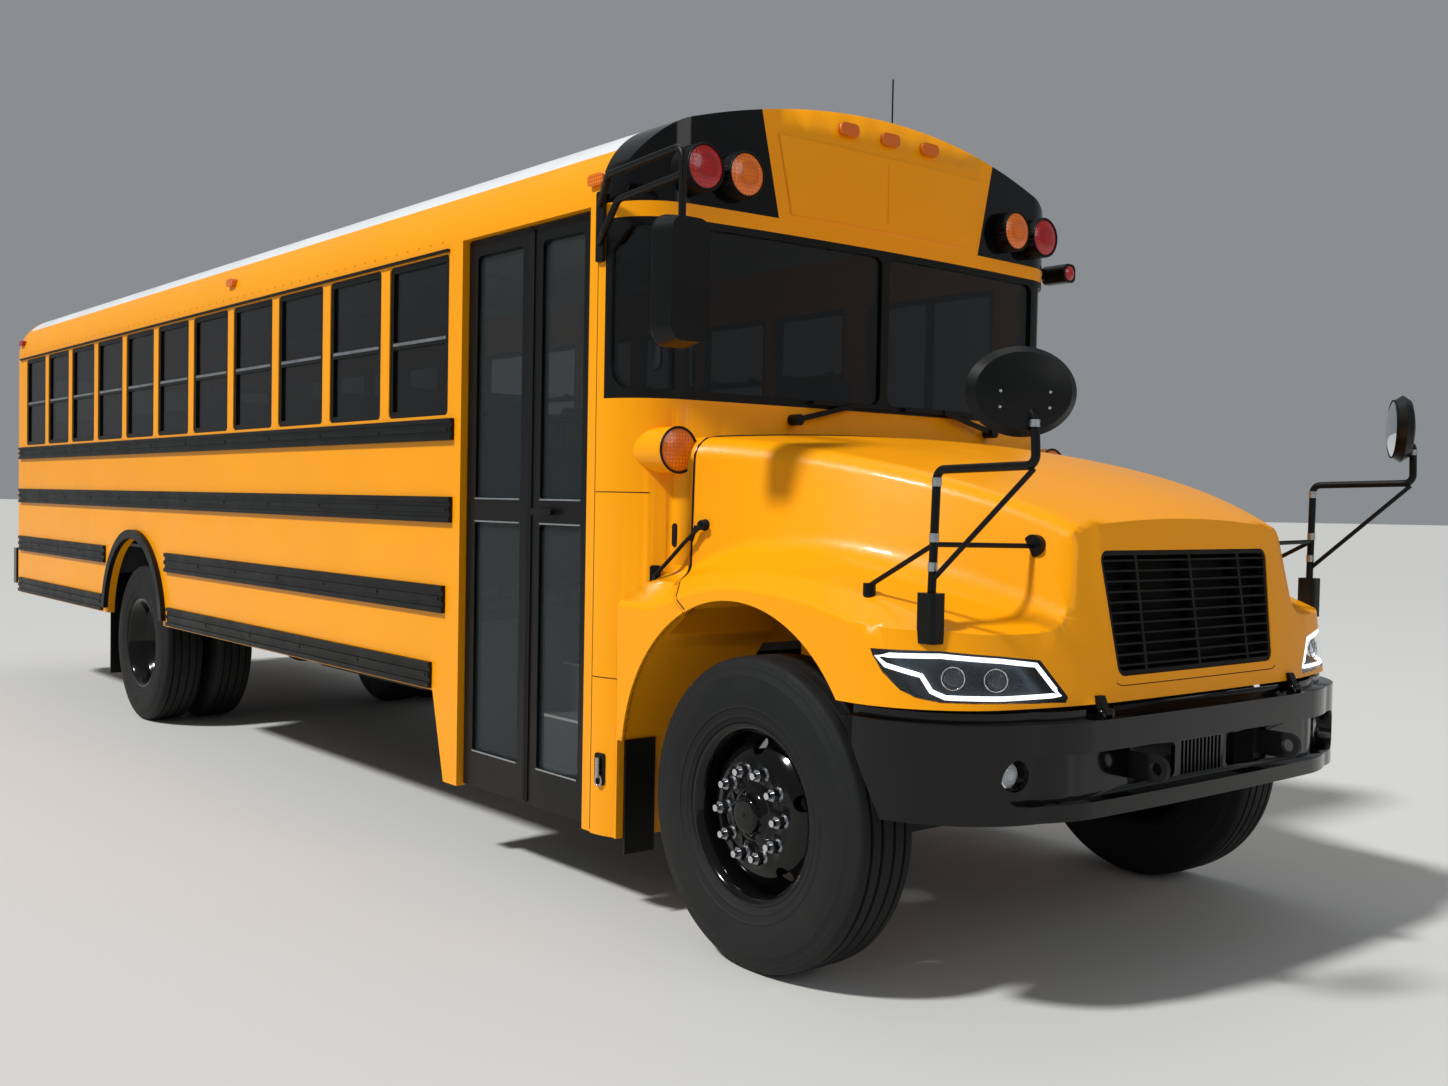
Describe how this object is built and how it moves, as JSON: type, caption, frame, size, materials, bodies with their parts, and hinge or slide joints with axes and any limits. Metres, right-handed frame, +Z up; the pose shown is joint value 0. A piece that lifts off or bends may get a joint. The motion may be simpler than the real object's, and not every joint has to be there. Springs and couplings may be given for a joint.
{
  "type": "school bus",
  "caption": "Yellow bonneted school bus with a long windowed body, folding entrance, tilting hood, rear exit door and stop arm.",
  "frame": {"origin": "on the ground, under the middle of the overall box", "axes": "+X forward along the bus, +Y to the driver's side, +Z up"},
  "size_m": [10.7143, 2.796, 3.345],
  "materials": {
    "body_yellow": "gloss",
    "roof_paint": "gloss",
    "hood_yellow": "gloss",
    "black_trim": "satin",
    "black_plastic": "matte",
    "gloss_black": "gloss",
    "glass": "gloss",
    "headlamp": "gloss",
    "lamp": "gloss",
    "tyre": "matte",
    "rim": "gloss",
    "chassis": "satin",
    "steel": "satin",
    "iron": "matte",
    "floor": "matte",
    "seat": "matte",
    "sign_red": "gloss",
    "rubber": "matte"
  },
  "bodies": {
    "chassis": {"frame_rails": "chassis", "floor_deck": "floor", "side_wall_right": "body_yellow", "side_wall_left": "body_yellow", "roof_shell": "roof_paint", "front_cowl": "body_yellow", "front_cap": "body_yellow", "rear_wall": "body_yellow", "window_frames": "black_trim", "fixed_glass": "glass", "seats": "seat", "cab_fittings": "black_plastic", "body_trim": "black_trim", "lamp_heads": "lamp", "outside_fittings": "black_plastic", "bumper_front": "gloss_black", "bumper_rear": "gloss_black", "front_axle": "iron", "rear_axle": "iron", "leaf_springs": "chassis", "powertrain": "iron", "fuel_tank": "chassis"},
    "hood": {"hood": "hood_yellow", "grille": "gloss_black", "headlamps": "headlamp", "cross_mirror_right": "black_plastic", "cross_mirror_left": "black_plastic"},
    "door_front": {"door_leaf_front": "black_trim", "door_glass_front": "glass"},
    "door_rear": {"door_leaf_rear": "black_trim", "door_glass_rear": "glass"},
    "rear_exit": {"rear_door": "body_yellow", "rear_door_glass": "glass"},
    "stop_sign": {"stop_arm": "sign_red"},
    "knuckle_right": {"knuckle_right": "iron"},
    "knuckle_left": {"knuckle_left": "iron"},
    "tie_rod": {"tie_rod": "chassis"},
    "front_wheel_right": {"wheel_front_right": "rim", "tyre_front_right": "tyre"},
    "front_wheel_left": {"wheel_front_left": "rim", "tyre_front_left": "tyre"},
    "rear_wheels_right": {"wheel_rear_right": "rim", "tyres_rear_right": "tyre"},
    "rear_wheels_left": {"wheel_rear_left": "rim", "tyres_rear_left": "tyre"}
  },
  "joints": [
    {"name": "steer_right", "type": "hinge", "parent": "chassis", "child": "knuckle_right", "pos_m": [4.262, -0.895, 0.522], "axis": [0, 0, 1], "range_deg": [-38, 38]},
    {"name": "steer_left", "type": "hinge", "parent": "chassis", "child": "knuckle_left", "pos_m": [4.262, 0.895, 0.522], "axis": [0, 0, 1], "range_deg": [-38, 38]},
    {"name": "front_right_spin", "type": "hinge", "parent": "knuckle_right", "child": "front_wheel_right", "pos_m": [4.262, -1.074, 0.522], "axis": [0, 1, 0], "continuous": true},
    {"name": "front_left_spin", "type": "hinge", "parent": "knuckle_left", "child": "front_wheel_left", "pos_m": [4.262, 1.074, 0.522], "axis": [0, 1, 0], "continuous": true},
    {"name": "rear_right_spin", "type": "hinge", "parent": "chassis", "child": "rear_wheels_right", "pos_m": [-2.138, -0.868, 0.522], "axis": [0, 1, 0], "continuous": true},
    {"name": "rear_left_spin", "type": "hinge", "parent": "chassis", "child": "rear_wheels_left", "pos_m": [-2.138, 0.868, 0.522], "axis": [0, 1, 0], "continuous": true},
    {"name": "hood_tilt", "type": "hinge", "parent": "chassis", "child": "hood", "pos_m": [5.192, 0, 0.926], "axis": [0, 1, 0], "range_deg": [0, 60]},
    {"name": "door_front_swing", "type": "hinge", "parent": "chassis", "child": "door_front", "pos_m": [3.262, -1.172, 1.4], "axis": [0, 0, 1], "range_deg": [0, 88]},
    {"name": "door_rear_swing", "type": "hinge", "parent": "chassis", "child": "door_rear", "pos_m": [2.4, -1.172, 1.4], "axis": [0, 0, 1], "range_deg": [-88, 0]},
    {"name": "rear_exit_swing", "type": "hinge", "parent": "chassis", "child": "rear_exit", "pos_m": [-5.2483, -0.431, 1.8], "axis": [0, 0, 1], "range_deg": [0, 110]},
    {"name": "tie_rod_pivot", "type": "hinge", "parent": "knuckle_right", "child": "tie_rod", "pos_m": [4.052, -0.855, 0.37], "axis": [0, 0, 1], "range_deg": [-38, 38]},
    {"name": "stop_arm_swing", "type": "hinge", "parent": "chassis", "child": "stop_sign", "pos_m": [2.957, 1.253, 1.66], "axis": [0, 0, 1], "range_deg": [-90, 0]}
  ],
  "couplings": [
    {"joint": "steer_left", "follows": "steer_right", "ratio": 1},
    {"joint": "tie_rod_pivot", "follows": "steer_right", "ratio": -1},
    {"joint": "door_rear_swing", "follows": "door_front_swing", "ratio": -1}
  ]
}
